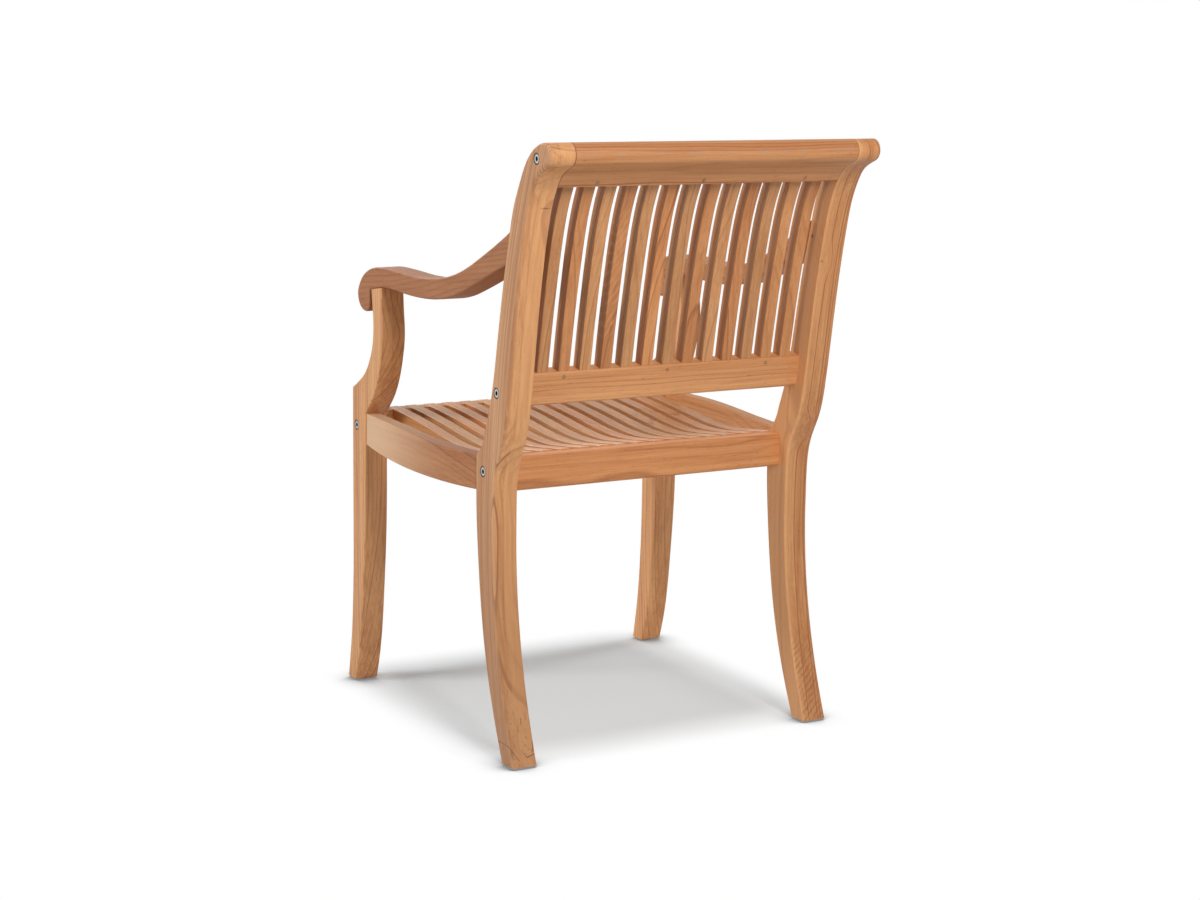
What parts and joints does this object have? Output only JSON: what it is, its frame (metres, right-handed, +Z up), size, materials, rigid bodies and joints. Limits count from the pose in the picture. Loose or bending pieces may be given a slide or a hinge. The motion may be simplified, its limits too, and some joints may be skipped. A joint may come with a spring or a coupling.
{
  "type": "slatted dining armchair",
  "caption": "Slatted hardwood dining armchair with sabre legs, scrolled arms, a dished seat and a rolled top rail, bolted together from two side frames and cross rails",
  "frame": {"origin": "on the floor, under the middle of the chair's bounding box", "axes": "+Z up, the sitter faces -Y, +X is the sitter's left"},
  "size_m": [0.5948, 0.651, 0.914],
  "materials": {
    "teak": "satin, unfinished golden teak",
    "steel": "plain turned steel",
    "glide": "dull moulded plastic"
  },
  "bodies": {
    "root": {"rear_post_left": "teak", "rear_post_right": "teak", "front_leg_left": "teak", "front_leg_right": "teak", "arm_left": "teak", "arm_right": "teak", "side_rail_left": "teak", "side_rail_right": "teak", "top_rail": "teak", "lower_back_rail": "teak", "rear_seat_rail": "teak", "front_seat_rail": "teak", "back_slat_01": "teak", "back_slat_02": "teak", "back_slat_03": "teak", "back_slat_04": "teak", "back_slat_05": "teak", "back_slat_06": "teak", "back_slat_07": "teak", "back_slat_08": "teak", "back_slat_09": "teak", "back_slat_10": "teak", "back_slat_11": "teak", "back_slat_12": "teak", "back_slat_13": "teak", "seat_slat_01": "teak", "seat_slat_02": "teak", "seat_slat_03": "teak", "seat_slat_04": "teak", "seat_slat_05": "teak", "seat_slat_06": "teak", "seat_slat_07": "teak", "seat_slat_08": "teak", "seat_slat_09": "teak", "seat_slat_10": "teak", "seat_slat_11": "teak", "seat_slat_12": "teak", "seat_slat_13": "teak", "seat_slat_14": "teak", "seat_slat_15": "teak", "locating_dowels": "teak", "arm_pegs": "teak", "slat_pegs": "teak", "frame_bolts": "steel", "barrel_nuts": "steel", "foot_glide_rear_left": "glide", "foot_glide_rear_right": "glide", "foot_glide_front_left": "glide", "foot_glide_front_right": "glide"}
  },
  "joints": []
}
